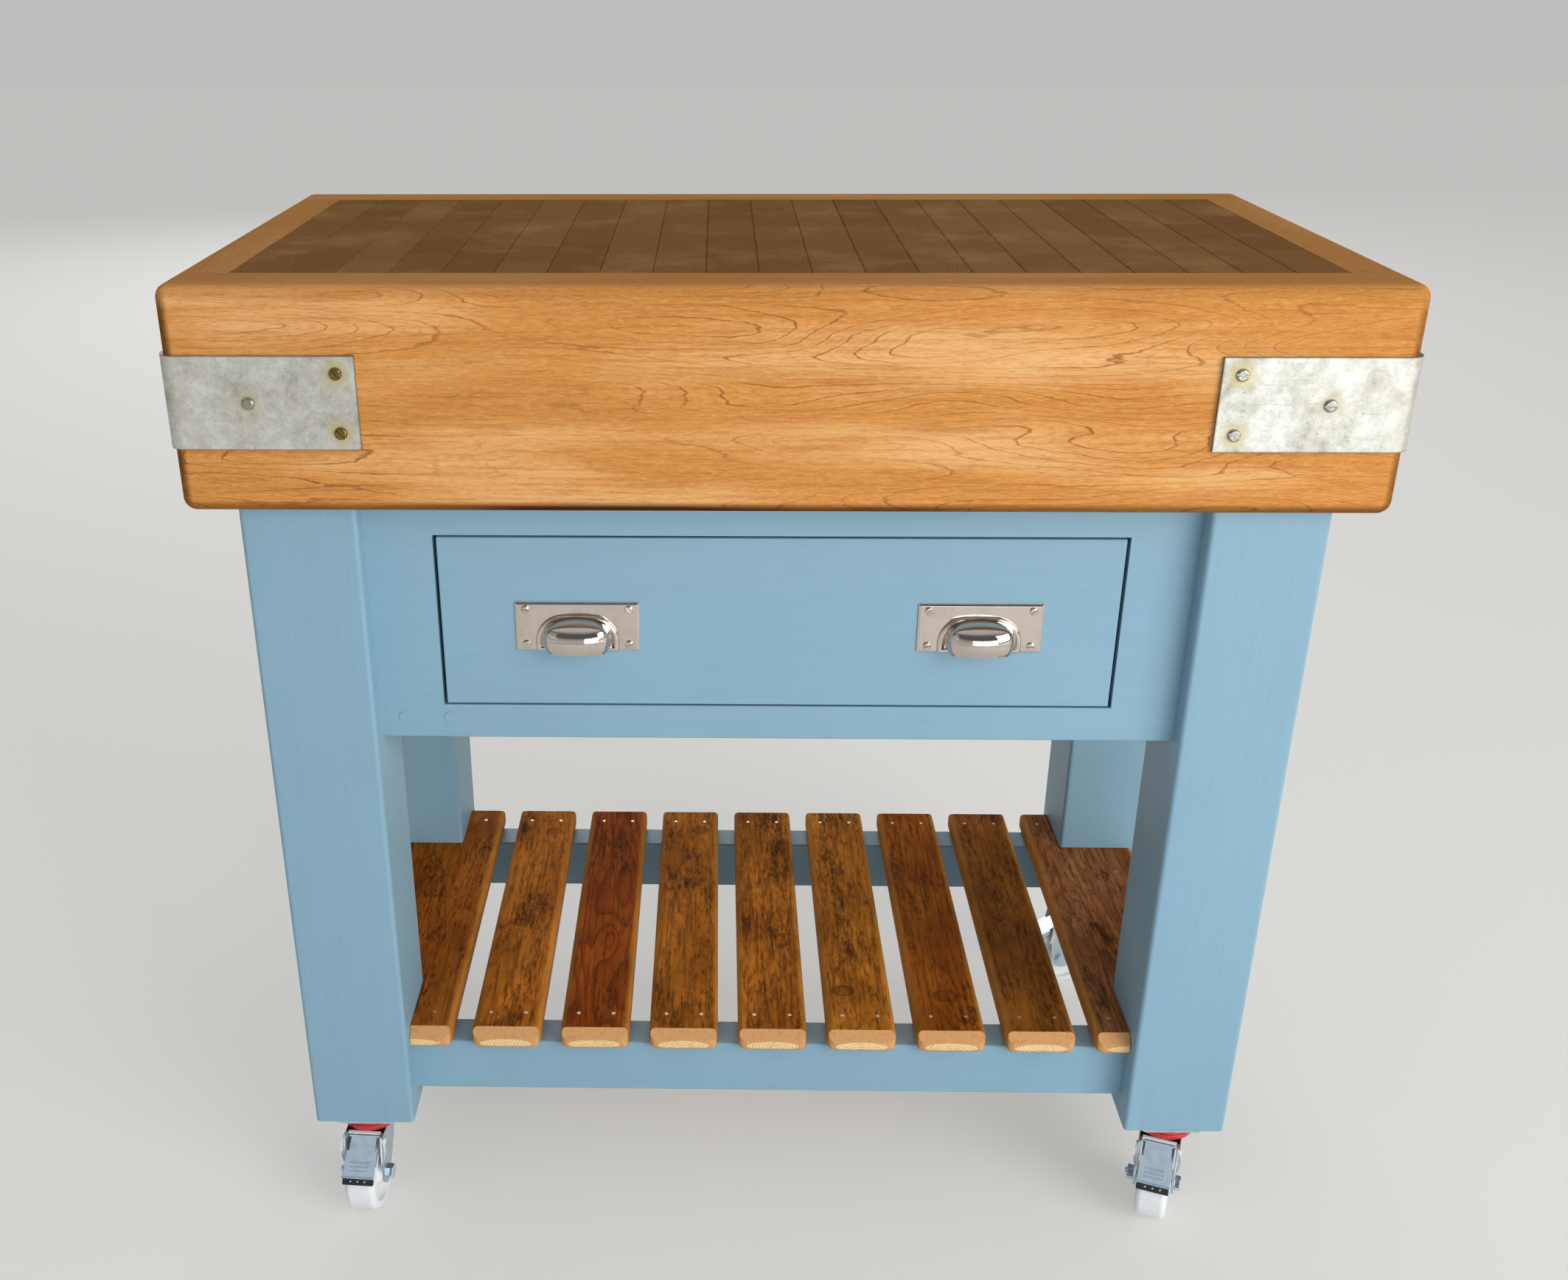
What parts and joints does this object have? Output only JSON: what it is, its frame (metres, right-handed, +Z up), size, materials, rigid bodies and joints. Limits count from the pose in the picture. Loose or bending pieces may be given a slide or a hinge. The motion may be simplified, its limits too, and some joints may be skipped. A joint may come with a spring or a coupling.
{
  "type": "kitchen island unit",
  "caption": "Free-standing butcher's block island: end-grain top with strapped corners on a painted frame with a wide inset drawer, a slatted shelf and braked swivel castors.",
  "frame": {"origin": "on the floor, under the centre of the block", "axes": "+X to the right seen from the front, -Y out of the drawer front, +Z up"},
  "size_m": [0.9712, 0.5176, 0.914],
  "materials": {
    "end_grain": "oiled end grain",
    "block_wood": "oiled long grain",
    "painted_wood": "satin brushed paint, pale blue-grey",
    "stained_wood": "dark stain, worn",
    "bare_wood": "bare softwood",
    "galvanised_strap": "galvanised, handled",
    "strap_screw": "aged steel",
    "nail": "bright",
    "pull_nickel": "polished nickel",
    "castor_zinc": "bright zinc",
    "seal_plastic": "gloss red",
    "wheel_nylon": "white nylon"
  },
  "bodies": {
    "frame": {"end_grain_core": "end_grain", "block_board_front": "block_wood", "block_board_back": "block_wood", "block_board_left": "block_wood", "block_board_right": "block_wood", "corner_straps": "galvanised_strap", "strap_screws": "strap_screw", "leg_front_left": "painted_wood", "leg_front_right": "painted_wood", "leg_back_left": "painted_wood", "leg_back_right": "painted_wood", "front_apron": "painted_wood", "back_apron": "painted_wood", "left_apron": "painted_wood", "right_apron": "painted_wood", "front_bottom_rail": "painted_wood", "back_bottom_rail": "painted_wood", "left_bottom_rail": "painted_wood", "right_bottom_rail": "painted_wood", "shelf_slat_1": "stained_wood", "shelf_slat_2": "stained_wood", "shelf_slat_3": "stained_wood", "shelf_slat_4": "stained_wood", "shelf_slat_5": "stained_wood", "shelf_slat_6": "stained_wood", "shelf_slat_7": "stained_wood", "shelf_slat_8": "stained_wood", "shelf_slat_9": "stained_wood", "slat_nails": "nail", "drawer_runner_left": "bare_wood", "drawer_runner_right": "bare_wood", "castor_plates": "castor_zinc", "castor_seals": "seal_plastic", "castor_king_pins": "castor_zinc", "castor_screws": "castor_zinc"},
    "drawer": {"drawer_front": "painted_wood", "drawer_side_left": "bare_wood", "drawer_side_right": "bare_wood", "drawer_back": "bare_wood", "drawer_bottom": "bare_wood", "drawer_stop": "bare_wood", "cup_pull_left": "pull_nickel", "cup_pull_right": "pull_nickel", "pull_screws": "pull_nickel"},
    "castor_front_left": {"castor_fork_front_left": "castor_zinc", "castor_axle_front_left": "castor_zinc"},
    "wheel_front_left": {"castor_wheel_front_left": "wheel_nylon"},
    "brake_front_left": {"castor_pedal_front_left": "castor_zinc"},
    "castor_front_right": {"castor_fork_front_right": "castor_zinc", "castor_axle_front_right": "castor_zinc"},
    "wheel_front_right": {"castor_wheel_front_right": "wheel_nylon"},
    "brake_front_right": {"castor_pedal_front_right": "castor_zinc"},
    "castor_back_left": {"castor_fork_back_left": "castor_zinc", "castor_axle_back_left": "castor_zinc"},
    "wheel_back_left": {"castor_wheel_back_left": "wheel_nylon"},
    "brake_back_left": {"castor_pedal_back_left": "castor_zinc"},
    "castor_back_right": {"castor_fork_back_right": "castor_zinc", "castor_axle_back_right": "castor_zinc"},
    "wheel_back_right": {"castor_wheel_back_right": "wheel_nylon"},
    "brake_back_right": {"castor_pedal_back_right": "castor_zinc"}
  },
  "joints": [
    {"name": "drawer_slide", "type": "slide", "parent": "frame", "child": "drawer", "axis": [0, -1, 0], "range_m": [0, 0.3]},
    {"name": "swivel_front_left", "type": "hinge", "parent": "frame", "child": "castor_front_left", "pos_m": [-0.393, -0.1965, 0.0863], "axis": [0, 0, 1], "continuous": true},
    {"name": "spin_front_left", "type": "hinge", "parent": "castor_front_left", "child": "wheel_front_left", "pos_m": [-0.39495, -0.22443, 0.0375], "axis": [0.9976, -0.0698, 0], "continuous": true},
    {"name": "brake_front_left", "type": "hinge", "parent": "castor_front_left", "child": "brake_front_left", "pos_m": [-0.39537, -0.23042, 0.082], "axis": [-0.9976, 0.0698, 0], "range_deg": [0, 25]},
    {"name": "swivel_front_right", "type": "hinge", "parent": "frame", "child": "castor_front_right", "pos_m": [0.393, -0.1965, 0.0863], "axis": [0, 0, 1], "continuous": true},
    {"name": "spin_front_right", "type": "hinge", "parent": "castor_front_right", "child": "wheel_front_right", "pos_m": [0.38342, -0.22281, 0.0375], "axis": [0.9397, -0.342, 0], "continuous": true},
    {"name": "brake_front_right", "type": "hinge", "parent": "castor_front_right", "child": "brake_front_right", "pos_m": [0.38137, -0.22845, 0.082], "axis": [-0.9397, 0.342, 0], "range_deg": [0, 25]},
    {"name": "swivel_back_left", "type": "hinge", "parent": "frame", "child": "castor_back_left", "pos_m": [-0.393, 0.1645, 0.0863], "axis": [0, 0, 1], "continuous": true},
    {"name": "spin_back_left", "type": "hinge", "parent": "castor_back_left", "child": "wheel_back_left", "pos_m": [-0.3891, 0.19223, 0.0375], "axis": [-0.9903, 0.1392, 0], "continuous": true},
    {"name": "brake_back_left", "type": "hinge", "parent": "castor_back_left", "child": "brake_back_left", "pos_m": [-0.38827, 0.19817, 0.082], "axis": [0.9903, -0.1392, 0], "range_deg": [0, 25]},
    {"name": "swivel_back_right", "type": "hinge", "parent": "frame", "child": "castor_back_right", "pos_m": [0.393, 0.1645, 0.0863], "axis": [0, 0, 1], "continuous": true},
    {"name": "spin_back_right", "type": "hinge", "parent": "castor_back_right", "child": "wheel_back_right", "pos_m": [0.365, 0.1645, 0.0375], "axis": [0, -1, 0], "continuous": true},
    {"name": "brake_back_right", "type": "hinge", "parent": "castor_back_right", "child": "brake_back_right", "pos_m": [0.359, 0.1645, 0.082], "axis": [0, 1, 0], "range_deg": [0, 25]}
  ]
}
